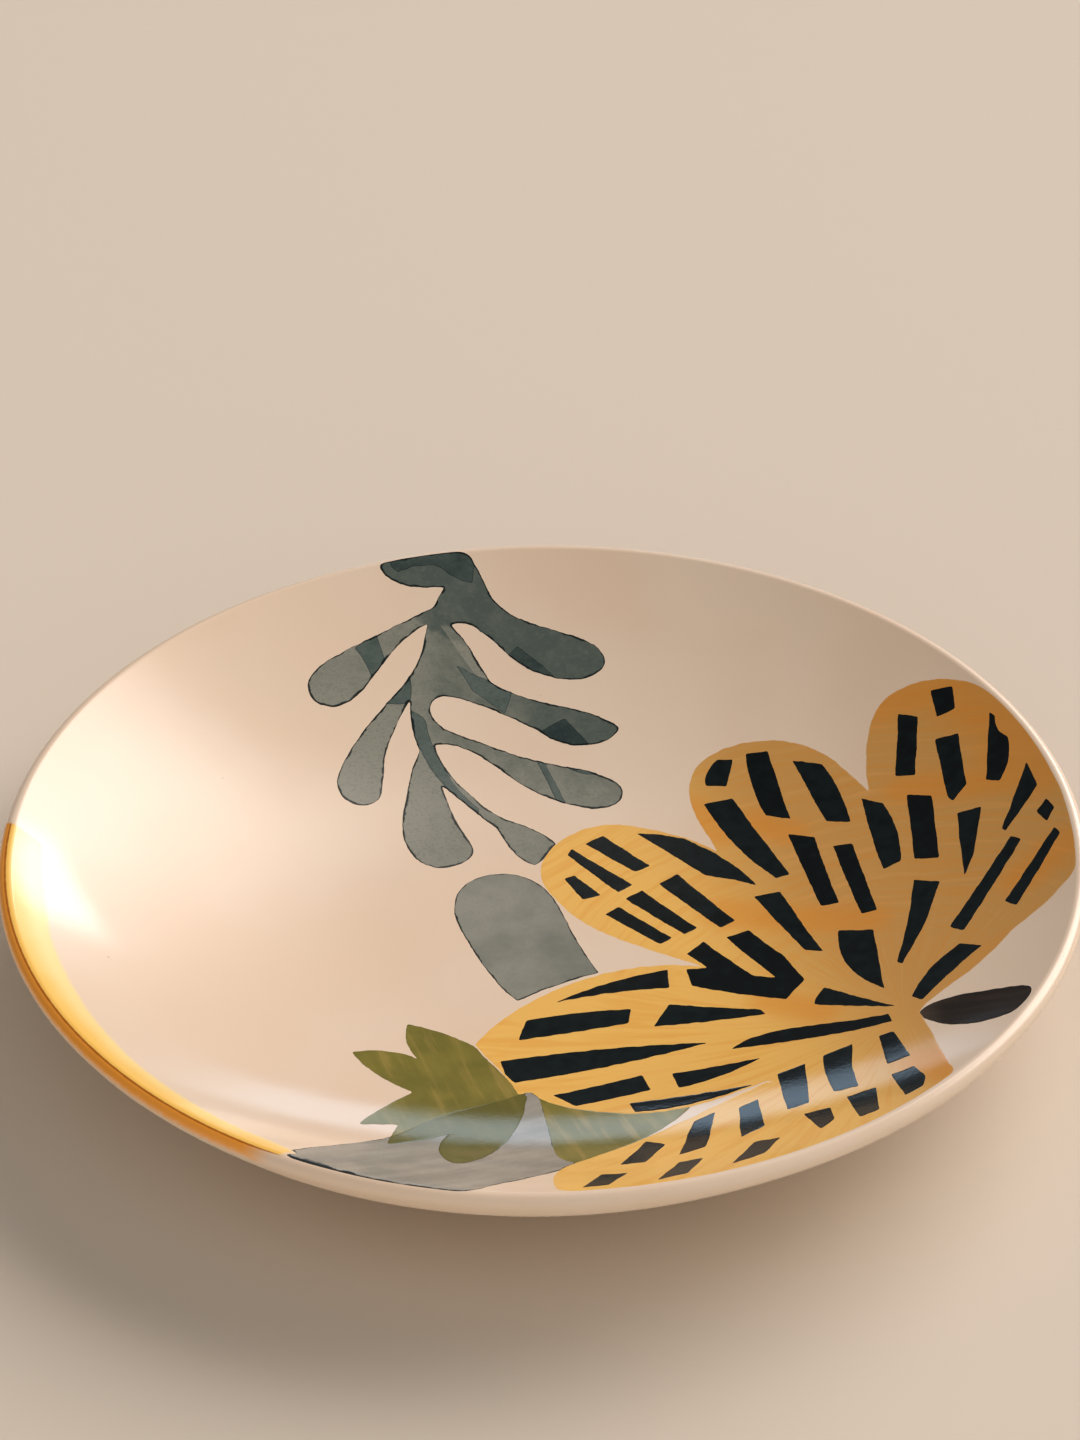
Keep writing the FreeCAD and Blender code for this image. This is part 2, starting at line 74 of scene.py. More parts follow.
FLOOR_ANGLE = math.asin(FLOOR_EDGE_R / FLOOR_R)
WALL_CENTRE_R = (FLOOR_R - WALL_R) * math.sin(FLOOR_ANGLE)
LIP_CENTRE_R = PLATE_R - LIP_R
LIP_CENTRE_Z = PLATE_H - LIP_R
LIP_ANGLE = math.asin((LIP_CENTRE_R - WALL_CENTRE_R) / (WALL_R + LIP_R))
LIP_START_R = LIP_CENTRE_R - LIP_R * math.sin(LIP_ANGLE)
WALL_CENTRE_Z = LIP_CENTRE_Z + (WALL_R + LIP_R) * math.cos(LIP_ANGLE)
FLOOR_CENTRE_Z = WALL_CENTRE_Z + (FLOOR_R - WALL_R) * math.cos(FLOOR_ANGLE)
OUTER_CENTRE_R = LIP_CENTRE_R - (OUTER_WALL_R - LIP_R) * math.sin(LIP_ANGLE)
OUTER_CENTRE_Z = LIP_CENTRE_Z + (OUTER_WALL_R - LIP_R) * math.cos(LIP_ANGLE)
RECESS_R = (FOOT_INNER_R**2 + RECESS_RISE**2) / (2 * RECESS_RISE)
RECESS_CENTRE_Z = FLOOR_CENTRE_Z - FLOOR_R - BASE_T + RECESS_R

TURN_STEPS = 288         # facets round the plate
UNEVEN_FROM_R = 70.0     # the foot stands flat, and the wall wanders more towards the lip
SLOPE_STEP = 0.05        # for slopes worked out by differences
WAVES = ((2, 0.16, 0.7), (3, 0.07, 2.1), (7, 0.03, 0.4))   # times round, height, phase
FINE_WAVE = (11, 0.02, 19.0)      # the same, but its phase turns a radian in this many mm
DIP = 0.7                # the lip sags this much at its front left
DIP_TURN = 250.0         # degrees round from +X
DIP_SPREAD = 26.0
HEAVY = 1.15             # and is this much thicker beside it
HEAVY_TURN = 264.0
HEAVY_SPREAD = 23.0
HEAVY_FROM_R = 100.0
HEAVY_FROM = 0.5         # this far below the inside glaze it starts to be thicker
HEAVY_OVER = 3.6         # and it takes this much more to be so in full


class Arc:
    """A stretch of the section, with r across and z up. It looks away from its centre or at it."""

    def __init__(self, centre_r, centre_z, radius, start, end, looks_out):
        self.centre = np.array([centre_r, centre_z])
        self.radius = radius
        self.start = start
        self.end = end
        self.side = 1 if looks_out else -1

    def run(self, count, lift=0.0, start=None, end=None):
        """Points and normals along the arc, lifted off the glaze by lift."""
        first = self.start if start is None else start
        last = self.end if end is None else end
        angle = np.linspace(first, last, count)
        out = np.stack([np.sin(angle), -np.cos(angle)], axis=1)
        return self.centre + (self.radius + self.side * lift) * out, self.side * out

    def back(self, count, lift=0.0, start=None, end=None):
        """The same run from its end to its start, looking the other way."""
        points, normals = self.run(count, lift, start, end)
        return points[::-1], -normals[::-1]

    def at(self, angle, lift=0.0):
        """The point of the arc at one angle."""
        return self.run(2, lift, angle, angle)[0][0]

    def angle_at(self, r, lift=0.0):
        return math.asin((r - self.centre[0]) / (self.radius + self.side * lift))


FLOOR = Arc(0.0, FLOOR_CENTRE_Z, FLOOR_R, 0.0, FLOOR_ANGLE, False)
WALL = Arc(WALL_CENTRE_R, WALL_CENTRE_Z, WALL_R, FLOOR_ANGLE, LIP_ANGLE, False)
LIP = Arc(LIP_CENTRE_R, LIP_CENTRE_Z, LIP_R, LIP_ANGLE + math.pi, LIP_ANGLE, True)
OUTER = Arc(OUTER_CENTRE_R, OUTER_CENTRE_Z, OUTER_WALL_R, LIP_ANGLE, 0.0, True)
RECESS = Arc(0.0, RECESS_CENTRE_Z, RECESS_R, 0.0, math.asin(FOOT_INNER_R / RECESS_R), True)


def joined(*runs):
    """Runs that follow each other smoothly, as one curve of points and normals."""
    points = np.concatenate([runs[0][0]] + [run[0][1:] for run in runs[1:]])
    normals = np.concatenate([runs[0][1]] + [run[1][1:] for run in runs[1:]])
    return points, normals


def straight(start, end, count=2):
    points = np.linspace(start, end, count)
    along = (points[-1] - points[0]) / np.linalg.norm(points[-1] - points[0])
    return points, np.tile([-along[1], along[0]], (count, 1))


def near_turn(turn, middle, spread):
    """1 near one side of the plate, given in degrees round from +X, and 0 away from it."""
    off = np.angle(np.exp(1j * (turn - math.radians(middle)))) / math.radians(spread)
    return np.exp(-off**4)


def uneven(x, y):
    """How far the thrown wall wanders up or down from the true section."""
    r = np.hypot(x, y)
    turn = np.arctan2(y, x)
    rise = np.clip((r - UNEVEN_FROM_R) / (PLATE_R - UNEVEN_FROM_R), 0.0, 1.0) ** 2
    waves = sum(height * np.sin(times * turn + phase) for times, height, phase in WAVES)
    times, height, phase_mm = FINE_WAVE
    waves = waves + height * np.sin(times * turn + r / phase_mm)
    return rise * (waves - DIP * near_turn(turn, DIP_TURN, DIP_SPREAD))


def smooth(share):
    share = np.clip(share, 0.0, 1.0)
    return share * share * (3 - 2 * share)


def glaze_height(x, y):
    """The height of the inside glaze over a point of the plan."""
    r = np.hypot(x, y)
    floor = FLOOR_CENTRE_Z - np.sqrt(FLOOR_R**2 - np.minimum(r, FLOOR_EDGE_R) ** 2)
    beyond = np.clip(r, FLOOR_EDGE_R, LIP_START_R) - WALL_CENTRE_R
    wall = WALL_CENTRE_Z - np.sqrt(WALL_R**2 - beyond**2)
    over = np.clip(r, LIP_START_R, PLATE_R - 0.01) - LIP_CENTRE_R
    lip = LIP_CENTRE_Z + np.sqrt(LIP_R**2 - over**2)
    flat = np.where(r < FLOOR_EDGE_R, floor, np.where(r < LIP_START_R, wall, lip))
    return flat + uneven(x, y)


def settled(x, y, z):
    """The height of a point of the true section on the plate as it came out of the kiln."""
    r = np.hypot(x, y)
    below = glaze_height(x, y) - uneven(x, y) - z
    under = smooth((below - HEAVY_FROM) / HEAVY_OVER)
    under = under * smooth((r - HEAVY_FROM_R) / (PLATE_R - HEAVY_FROM_R))
    return z + uneven(x, y) - HEAVY * under * near_turn(np.arctan2(y, x), HEAVY_TURN, HEAVY_SPREAD)


def slope(height, axis, *spot):
    """How fast a height function rises along one of its axes."""
    step = SLOPE_STEP * np.eye(len(spot))[axis]
    ahead = height(*[value + move for value, move in zip(spot, step)])
    behind = height(*[value - move for value, move in zip(spot, step)])
    return (ahead - behind) / (2 * SLOPE_STEP)


def settled_normals(normals, *spot):
    """The normals of the true section, turned as settled() turns the surface."""
    slope_x, slope_y, slope_z = [slope(settled, axis, *spot) for axis in range(3)]
    up = normals[..., 2] / slope_z
    return np.stack([normals[..., 0] - slope_x * up, normals[..., 1] - slope_y * up, up], axis=-1)


# ---- meshes ----------------------------------------------------------------


def piece_from(name, points, faces, normals, numbers=None):
    """An object from millimetre points, with a normal for each corner of each face."""
    mesh = bpy.data.meshes.new(name)
    mesh.from_pydata((np.asarray(points) * MM).tolist(), [], faces)
    mesh.update()
    mesh.shade_smooth()
    length = np.linalg.norm(normals, axis=1, keepdims=True)
    mesh.normals_split_custom_set((np.array(normals) / length).tolist())
    for key, values in (numbers or {}).items():
        attribute = mesh.attributes.new(key, "FLOAT", "POINT")
        attribute.data.foreach_set("value", np.asarray(values, dtype=np.float32))
    piece = bpy.data.objects.new(name, mesh)
    bpy.context.scene.collection.objects.link(piece)
    return piece


def spun(section, out, turn):
    """Points and normals of the section, turned about the axis and settled as the plate is."""
    x = section[..., 0] * np.cos(turn)
    y = section[..., 0] * np.sin(turn)
    z = section[..., 1]
    points = np.stack([x, y, settled(x, y, z)], axis=-1)
    way = np.broadcast_arrays(out[..., 0] * np.cos(turn), out[..., 0] * np.sin(turn), out[..., 1])
    return points, settled_normals(np.stack(way, axis=-1), x, y, z)


def turned(name, curves):
    """A closed solid turned about the plate's axis. Each curve starts where the last one ends."""
    around = np.arange(TURN_STEPS)
    after = np.roll(around, -1)
    points, faces, normals = [], [], []

    def add_row(spots):
        first = len(points)
        if np.hypot(*spots[0, :2]) < SAME_SPOT:
            points.append((0.0, 0.0, spots[0, 2]))
            return np.full(TURN_STEPS, first)
        points.extend(spots)
        return first + around

    row = None
    for section, out in curves:
        spots, leans = spun(section[:, None], out[:, None], around * 2 * math.pi / TURN_STEPS)
        if row is None:
            row = first_row = add_row(spots[0])
        for i in range(1, len(section)):
            closes = np.allclose(section[i], curves[0][0][0])
            next_row = first_row if closes else add_row(spots[i])
            for k, m in zip(around, after):
                ring = ((row, i - 1, k), (next_row, i, k), (next_row, i, m), (row, i - 1, m))
                # On the axis two corners are one point, which the dictionary holds once.
                corners = {int(line[at]): leans[j, at] for line, j, at in ring}
                faces.append(list(corners))
                normals.extend(corners.values())
            row = next_row
    return piece_from(name, points, faces, normals)


def add_closed(solid, top, under, plan_faces, border, walls):
    """Adds an upper face to a solid, the same face below it, and the wall between them.

    top and under hold points and normals, border goes round the edge anticlockwise, and walls
    has the four normals of each stretch of it.
    """
    points, faces, normals = solid
    first = len(points)
    below = first + len(top[0])
    points.extend(top[0])
    points.extend(under[0])
    for corners in plan_faces:
        faces.append([first + spot for spot in corners])
        normals.extend(top[1][spot] for spot in corners)
        faces.append([below + spot for spot in reversed(corners)])
        normals.extend(under[1][spot] for spot in reversed(corners))
    for here, there, wall in zip(border, border[1:] + border[:1], walls):
        faces.append([first + there, first + here, below + here, below + there])
        normals.extend(wall)


# ---- outlines of the paint films -------------------------------------------

EDGE_STEP = 0.55         # spacing of the points along an outline
EDGE_ROUND = 0.34        # how much a brush rounds a corner
SHORTEST_OUTLINE = 12    # points
WANDERS = (              # waves that move an outline: how many, from and to which length, how far
    (16, 2.6, 11.0, 0.026),
    (8, 1.1, 2.2, 0.014),
)
EDGE_SEED = 11
TONE_SEED = 13
NEAR_LIP_R = 127.5       # a wash that ends at the lip in the frame runs on up it
EDGE_OF_FRAME_R = 131.0
PAINT_LIMIT_R = 133.3
LIP_ROUNDINGS = 5        # how often the corners are rounded there
GROWN_KEPT = 0.95        # a grown outline drops points nearer than this share of its growth
SOFT_EDGE = 0.45         # width of the sloping edge of a film
RINGS = (0.22, 0.45, 0.8, 1.4)
RING_KEPT = 0.93         # a ring drops points nearer to the edge than this share of its distance
GRID = 1.7               # spacing of a film's points away from its edge
GRID_CLEAR = 0.45        # how far from the last ring they start, as a share of it
FILM_SINK = 0.12         # how far a film's underside lies in the glaze
EDGE_SINK = 0.02         # how far its edge does
EDGE_SHINE = 0.15        # the clear glaze on top smooths the step of an edge down to this share
CHUNK = 1500             # points handled at a time, to spare memory
SAME_SPOT = 0.005        # nearer than this, two points are one


def outlines(node):
    """The outlines of a paint film in plan: the open edges of the upper faces of its node."""
    solid = bmesh.new()
    solid.from_mesh(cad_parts[node].data)
    bmesh.ops.remove_doubles(solid, verts=solid.verts, dist=SAME_SPOT * MM)
    solid.normal_update()
    upper = {face for face in solid.faces if face.normal.z > 0.5}
    following = {}
    for face in sorted(upper, key=lambda face: face.index):
        for loop in face.loops:
            if not any(other in upper for other in loop.edge.link_faces if other is not face):
                following.setdefault(loop.vert, []).append(loop.link_loop_next.vert)
    loops = []
    while following:
        first = min(following, key=lambda spot: (spot.co.x, spot.co.y))
        loop = [first]
        here = following[first].pop()
        while here is not first:
            loop.append(here)
            here = following[here].pop()
        following = {spot: after for spot, after in following.items() if after}
        loops.append(np.array([(spot.co.x, spot.co.y) for spot in loop]) / MM)
    solid.free()
    return loops


def resampled(loop):
    """The same closed line with its points EDGE_STEP apart."""
    closed = np.vstack([loop, loop[:1]])
    lengths = np.hypot(*np.diff(closed, axis=0).T)
    travelled = np.concatenate([[0.0], np.cumsum(lengths)])
    count = max(SHORTEST_OUTLINE, round(travelled[-1] / EDGE_STEP))
    spots = np.arange(count) * travelled[-1] / count
    return np.stack([np.interp(spots, travelled, closed[:, axis]) for axis in (0, 1)], axis=1)


def rounded(loop, reach):
    """Rounds the corners of a resampled line."""
    offsets = np.arange(-3, 4)
    weights = np.exp(-0.5 * (offsets * EDGE_STEP / reach) ** 2)
    weights = weights / weights.sum()
    return sum(weight * np.roll(loop, offset, axis=0) for weight, offset in zip(weights, offsets))


def wandered(loop):
    """Moves a line by one smooth field, so that edges drawn against each other still meet."""
    chance = np.random.default_rng(EDGE_SEED)
    move = np.zeros_like(loop)
    for count, shortest, longest, size in WANDERS:
        for _ in range(count):
            turn, phase = chance.uniform(0, 2 * math.pi, 2)
            wave = chance.uniform(shortest, longest)
            push = chance.normal(size=2)
            along = loop @ np.array([math.cos(turn), math.sin(turn)])
            move += np.sin(along * 2 * math.pi / wave + phase)[:, None] * push * size
    return loop + move


def run_up_lip(loop, reach):
    """Carries a line that ends at the edge of the frame's paint on up the lip, corners rounded."""
    r = np.hypot(*loop.T)[:, None]
    share = smooth((r - NEAR_LIP_R) / (EDGE_OF_FRAME_R - NEAR_LIP_R))
    moved = loop * (1 + reach * share / r)
    for _ in range(LIP_ROUNDINGS):
        moved = moved + share**4 * (rounded(moved, 2 * EDGE_STEP) - moved)
    return moved * np.minimum(1.0, PAINT_LIMIT_R / np.hypot(*moved.T)[:, None])


def outline_of(outline, grow=0.0, reach=0.0):
    """A film's outline as the brush left it, grown by grow and carried up the lip by reach."""
    loop = wandered(rounded(resampled(outline), EDGE_ROUND))
    if grow:
        grown = loop - grow * inward(loop)
        loop = grown[from_edge(grown, loop)[0] > GROWN_KEPT * grow]
    return run_up_lip(loop, reach) if reach else loop


def from_edge(points, loop):
    """For each point, its distance from a closed line and the direction away from it."""
    ahead = np.roll(loop, -1, axis=0) - loop
    size = np.maximum(np.sum(ahead**2, axis=1), 1e-9)
    gaps, aways = [], []
    for at in range(0, len(points), CHUNK):
        reach = points[at:at + CHUNK, None] - loop[None]
        share = np.clip(np.sum(reach * ahead, axis=2) / size, 0.0, 1.0)
        away = reach - share[..., None] * ahead
        distance = np.hypot(away[..., 0], away[..., 1])
        nearest = distance.argmin(axis=1)
        rows = np.arange(len(nearest))
        gaps.append(distance[rows, nearest])
        aways.append(away[rows, nearest])
    gap = np.concatenate(gaps)
    return gap, np.concatenate(aways) / np.maximum(gap, 1e-6)[:, None]


def inside(points, loop):
    """Which points lie inside a closed line."""
    x, y = points[:, 0], points[:, 1]
    result = np.zeros(len(points), dtype=bool)
    for (x0, y0), (x1, y1) in zip(loop, np.roll(loop, -1, axis=0)):
        if y0 != y1:
            crosses = (y0 > y) != (y1 > y)
            result ^= crosses & (x < x0 + (y - y0) * (x1 - x0) / (y1 - y0))
    return result


def inward(loop):
    """At each point of a closed line, the direction square to it and into it."""
    ahead = np.roll(loop, -1, axis=0) - np.roll(loop, 1, axis=0)
    side = np.stack([-ahead[:, 1], ahead[:, 0]], axis=1)
    return side / np.hypot(*side.T)[:, None]


def sheet_points(loop):
    """Points for a film's surface: rings that follow its edge, then an even spread."""
    side = inward(loop)
    spots = []
    for ring in RINGS:
        ring_points = (loop + ring * side)[:: 1 if ring < SOFT_EDGE else 2]
        gap, _ = from_edge(ring_points, loop)
        spots.append(ring_points[(gap > RING_KEPT * ring) & inside(ring_points, loop)])
    low = loop.min(axis=0)
    high = loop.max(axis=0)
    columns = np.arange(low[0], high[0], GRID)
    lines = np.arange(low[1], high[1], GRID * math.sqrt(3) / 2)
    x, y = np.meshgrid(columns, lines)
    x[1::2] += GRID / 2
    spread = np.stack([x.ravel(), y.ravel()], axis=1)
    spread = spread[inside(spread, loop)]
    if len(spread):
        gap, _ = from_edge(spread, loop)
        spots.append(spread[gap > RINGS[-1] + GRID_CLEAR * GRID])
    return np.concatenate(spots)


def film_plan(loop):
    """A film in plan: its points, its triangles, and for each point its place on the outline or -1."""
    count = len(loop)
    flat = np.concatenate([loop, sheet_points(loop)])
    border = [(i, (i + 1) % count) for i in range(count)]
    result = delaunay_2d_cdt([Vector(spot) for spot in flat], border, [], 1, 1e-4)
    plan = np.array([tuple(spot) for spot in result[0]])
    source = np.array([sources[0] if sources and sources[0] < count else -1 for sources in result[3]])
    triangles = []
    for corners in result[2]:
        (ax, ay), (bx, by), (cx, cy) = plan[list(corners)]
        upward = (bx - ax) * (cy - ay) > (by - ay) * (cx - ax)
        triangles.append(corners if upward else corners[::-1])
    return plan, triangles, source


def film(name, node, thickness, base=0.0, grow=0.0, reach=0.0, over=None):
    """A closed paint film on the glaze. It starts at height base and rises by its thickness.

    Its attributes are the distance from its own outline, the distance from the outline of the
    film it lies over, if it has one, and a random tone for each stroke.
    """
    solid = [], [], []
    own_edge, edge, tone = [], [], []
    under_loops = [outline_of(line, 0.0, reach) for line in outlines(over)] if over else []
    chance = np.random.default_rng(TONE_SEED)
    rise = thickness + EDGE_SINK
    for outline in outlines(node):
        loop = outline_of(outline, grow, reach)
        side = inward(loop)
        plan, triangles, source = film_plan(loop)
        on_border = source >= 0
        gap, away = from_edge(plan, loop)
        away[on_border] = side[source[on_border]]
        gap[on_border] = 0.0
        x, y = plan.T
        ground = glaze_height(x, y)
        short = np.clip(1.0 - gap / SOFT_EDGE, 0.0, 1.0)
        top = ground + base - EDGE_SINK + rise * (1.0 - short**2)
        slope_x, slope_y = [slope(glaze_height, axis, x, y) for axis in range(2)]
        fall_x, fall_y = EDGE_SHINE * (2.0 * rise / SOFT_EDGE) * short * away.T
        upright = np.ones(len(x))
        lean = np.stack([-slope_x - fall_x, -slope_y - fall_y, upright], axis=1)
        down = np.stack([slope_x, slope_y, -upright], axis=1)
        upper = np.stack([x, y, top], axis=1)
        lower = np.stack([x, y, ground - FILM_SINK], axis=1)
        spot_of = {source[spot]: spot for spot in np.flatnonzero(on_border).tolist()}
        border = [spot_of[i] for i in range(len(loop))]
        out = -np.column_stack([side, np.zeros(len(side))])
        ahead = np.roll(out, -1, axis=0)
        walls = np.stack([ahead, out, out, ahead], axis=1)
        add_closed(solid, (upper, lean), (lower, down), triangles, border, walls)
        far = gap
        if under_loops:
            far = np.min([from_edge(plan, line)[0] for line in under_loops], axis=0)
        underside = np.zeros(len(plan))
        own_edge.extend(np.concatenate([gap, underside]))
        edge.extend(np.concatenate([far, underside]))
        tone.extend(np.full(2 * len(plan), chance.uniform()))
    numbers = {"edge": edge, "own_edge": own_edge, "tone": tone}
    return piece_from(name, *solid, numbers)


# ---- materials -------------------------------------------------------------


def srgb(red, green, blue):
    """A colour as seen on a screen, from 0 to 255, turned into light."""
    shares = [value / 255 for value in (red, green, blue)]
    light = [s / 12.92 if s <= 0.04045 else ((s + 0.055) / 1.055) ** 2.4 for s in shares]
    return (*light, 1.0)


class Shader:
    """A node tree written as calls."""

    def __init__(self, tree):
        self.tree = tree

    def node(self, kind, inputs=None, **settings):
        """A new node. inputs are values, or sockets to link, by the name or number of the input."""
        made = self.tree.nodes.new(kind)
        for key, value in settings.items():
            setattr(made, key, value)
        for key, value in (inputs or {}).items():
            self.put(made.inputs[key], value)
        return made

    def put(self, socket, value):
        if isinstance(value, bpy.types.NodeSocket):
            self.tree.links.new(value, socket)
        else:
            socket.default_value = value

    def vector(self, operation, *values, scale=None):
        inputs = dict(enumerate(values))
        if scale is not None:
            inputs["Scale"] = scale
        made = self.node("ShaderNodeVectorMath", inputs, operation=operation)
        scalar = operation in ("DOT_PRODUCT", "LENGTH")
        return made.outputs["Value" if scalar else "Vector"]

    def math(self, operation, *values):
        return self.node("ShaderNodeMath", dict(enumerate(values)), operation=operation).outputs[0]

    def times(self, a, b):
        return self.math("MULTIPLY", a, b)

    def plus(self, a, b):
        return self.math("ADD", a, b)

    def minus(self, a, b):
        return self.math("SUBTRACT", a, b)

    def most(self, a, b):
        return self.math("MAXIMUM", a, b)

    def fade(self, value, low, high):
        """0 under low, 1 over high, and a smooth step between."""
        inputs = {"Value": value, "From Min": low, "From Max": high}
        made = self.node("ShaderNodeMapRange", inputs, interpolation_type="SMOOTHSTEP")
        return made.outputs["Result"]

    def mix(self, share, a, b):
        return self.node("ShaderNodeMix", {0: share, 6: a, 7: b}, data_type="RGBA").outputs[2]

    def tint(self, colour, other, share, most):
        """A colour moved towards another one where share is 1, by most."""
        return self.mix(self.times(share, most), colour, other)


class Finish(Shader):
    """A glaze or paint material. Its textures measure in millimetres."""

    def __init__(self, name):
        self.material = bpy.data.materials.new(name)
        self.material.use_nodes = True
        super().__init__(self.material.node_tree)
        self.surface = self.tree.nodes["Principled BSDF"]
        here = self.node("ShaderNodeTexCoord").outputs["Object"]
        self.place = self.vector("SCALE", here, scale=1 / MM)

    def noise(self, size, detail=2.0, place=None):
        """A noise whose lumps are about size across, from 0 to 1."""
        inputs = {"Vector": place or self.place, "Scale": 1 / size, "Detail": detail}
        return self.node("ShaderNodeTexNoise", inputs).outputs["Fac"]

    def number(self, name):
        return self.node("ShaderNodeAttribute", attribute_name=name).outputs["Fac"]

    def along(self, x, y):
        """How far the place lies along a direction of the plan."""
        length = math.hypot(x, y)
        return self.vector("DOT_PRODUCT", self.place, (x / length, y / length, 0.0))

    def stretched(self, x, y, length, width):
        """Coordinates for streaks that run along a direction of the plan."""
        far = self.math("DIVIDE", self.along(x, y), length)
        return self.flat(far, self.math("DIVIDE", self.along(-y, x), width))

    def flat(self, x, y):
        """Coordinates from two numbers."""
        return self.node("ShaderNodeCombineXYZ", {"X": x, "Y": y}).outputs[0]

    def finish(self, colour, roughness=0.07, wave=0.02, wave_size=9.0, grain=0.0, grain_size=0.8):
        """Sets the colour, a gloss that varies a little, and the waviness of the fired surface."""
        self.put(self.surface.inputs["Base Color"], colour)
        cloud = self.noise(14.0)
        varied = self.math("MULTIPLY_ADD", cloud, 0.6 * roughness, 0.7 * roughness)
        self.put(self.surface.inputs["Roughness"], varied)
        self.surface.inputs["IOR"].default_value = 1.52
        normal = self.bump(self.noise(wave_size), wave)
        if grain:
            normal = self.bump(self.noise(grain_size), grain, normal)
        self.put(self.surface.inputs["Normal"], normal)
        return self.material

    def bump(self, height, depth, under=None):
        """Relief of depth millimetres, on the relief that is already there."""
        inputs = {"Strength": 1.0, "Distance": depth * MM, "Height": height}
        if under:
            inputs["Normal"] = under
        return self.node("ShaderNodeBump", inputs).outputs["Normal"]


IVORY = srgb(231, 213, 193)
IVORY_WARM = srgb(231, 210, 188)
IVORY_CREAM = srgb(233, 216, 197)
SPECK = srgb(116, 92, 70)


def ivory_glaze():
    """Warm ivory, clouded a little, with a few iron specks."""
    paint = Finish("ivory_glaze")
    colour = paint.mix(paint.fade(paint.noise(60.0), 0.35, 0.65), IVORY_WARM, IVORY_CREAM)
    colour = paint.tint(colour, IVORY, paint.noise(1.6, 4.0), 0.35)
    cells = paint.node("ShaderNodeTexVoronoi", {"Vector": paint.place, "Scale": 1 / 7.0})
    chosen = paint.node("ShaderNodeSeparateColor", {0: cells.outputs["Color"]})
    rare = paint.fade(chosen.outputs[0], 0.86, 0.90)
    ragged = paint.plus(cells.outputs["Distance"], paint.times(paint.noise(0.5), 0.03))
    near = paint.minus(ragged, paint.times(chosen.outputs[1], 0.03))
    dot = paint.minus(1.0, paint.fade(near, 0.022, 0.034))
    speck = paint.times(paint.times(dot, rare), 0.75)
    return paint.finish(paint.mix(speck, colour, SPECK), wave=0.03, wave_size=12.0)


def bare_clay():
    """Fired buff clay, matt, with a fine grit and the marks of the turning tool."""
    paint = Finish("bare_clay")
    colour = paint.mix(paint.noise(5.0, 5.0), srgb(206, 178, 146), srgb(222, 199, 170))
    grit = paint.fade(paint.noise(0.5, 1.0), 0.66, 0.72)
    colour = paint.tint(colour, srgb(140, 106, 76), grit, 0.5)
    return paint.finish(colour, roughness=0.75, wave=0.05, wave_size=3.0, grain=0.05, grain_size=0.5)


HUB = (85.0, -57.0)      # where the petals meet
YELLOW = srgb(240, 196, 112)
# Towards the right of the flower the yellow turns to this ochre: partly a deeper paint, partly painted
# shade.
SHADED_OCHRE = srgb(208, 163, 98)
ORANGE = srgb(226, 152, 56)
PINKISH = srgb(238, 180, 110)


def flower_paint():
    """Yellow brushed out from the hub, turning ochre towards the right, partly a deeper paint and
    partly painted shade, with a second coat in places.
    """
    paint = Finish("yellow_paint")
    across = paint.vector("SUBTRACT", paint.place, (*HUB, 0.0))
    split = paint.node("ShaderNodeSeparateXYZ", {0: across})
    radius = paint.vector("LENGTH", across)
    turn = paint.math("ARCTAN2", split.outputs["Y"], split.outputs["X"])
    bend = paint.times(paint.noise(30.0), 9.0)
    rings = paint.flat(paint.math("DIVIDE", paint.plus(radius, bend), 2.2), paint.times(turn, 2.0))
    ring_streak = paint.noise(1.0, 3.0, rings)
    rays = paint.flat(paint.math("DIVIDE", radius, 26.0), paint.times(turn, 22.0))
    ray_streak = paint.noise(1.0, 3.0, rays)
    right = paint.fade(split.outputs["Y"], 18.0, 48.0)
    streak = paint.mix(right, ray_streak, ring_streak)
    # Partly painted shade: the yellow deepens to ochre towards the right of the flower.
    lean = paint.fade(paint.along(1.0, 0.35), 25.0, 70.0)
    colour = paint.mix(lean, YELLOW, SHADED_OCHRE)
    colour = paint.tint(colour, PINKISH, paint.fade(streak, 0.5, 0.75), 0.3)
    colour = paint.tint(colour, ORANGE, paint.fade(streak, 0.54, 0.34), 0.28)
    coat = paint.plus(paint.number("coat"), paint.times(streak, 0.9))
    colour = paint.tint(colour, ORANGE, paint.fade(coat, 0.5, 1.3), 0.5)
    thin = paint.fade(paint.plus(paint.number("edge"), paint.noise(2.0)), 0.75, 0.35)
    colour = paint.tint(colour, IVORY, thin, 0.2)
    return paint.finish(colour, wave=0.03, wave_size=10.0, grain=0.004)


BLACK = srgb(12, 19, 20)
BLACK_WORN = srgb(22, 33, 34)


def stroke_paint():
    """Near black with a green-blue tinge, laid on thick enough to dimple."""
    paint = Finish("black_paint")
    cloud = paint.plus(paint.noise(3.5, 3.0), paint.times(paint.number("tone"), 0.25))
    colour = paint.mix(paint.fade(cloud, 0.45, 0.85), BLACK, BLACK_WORN)
    return paint.finish(colour, wave=0.03, wave_size=8.0, grain=0.012)


POOLED = srgb(22, 34, 36)


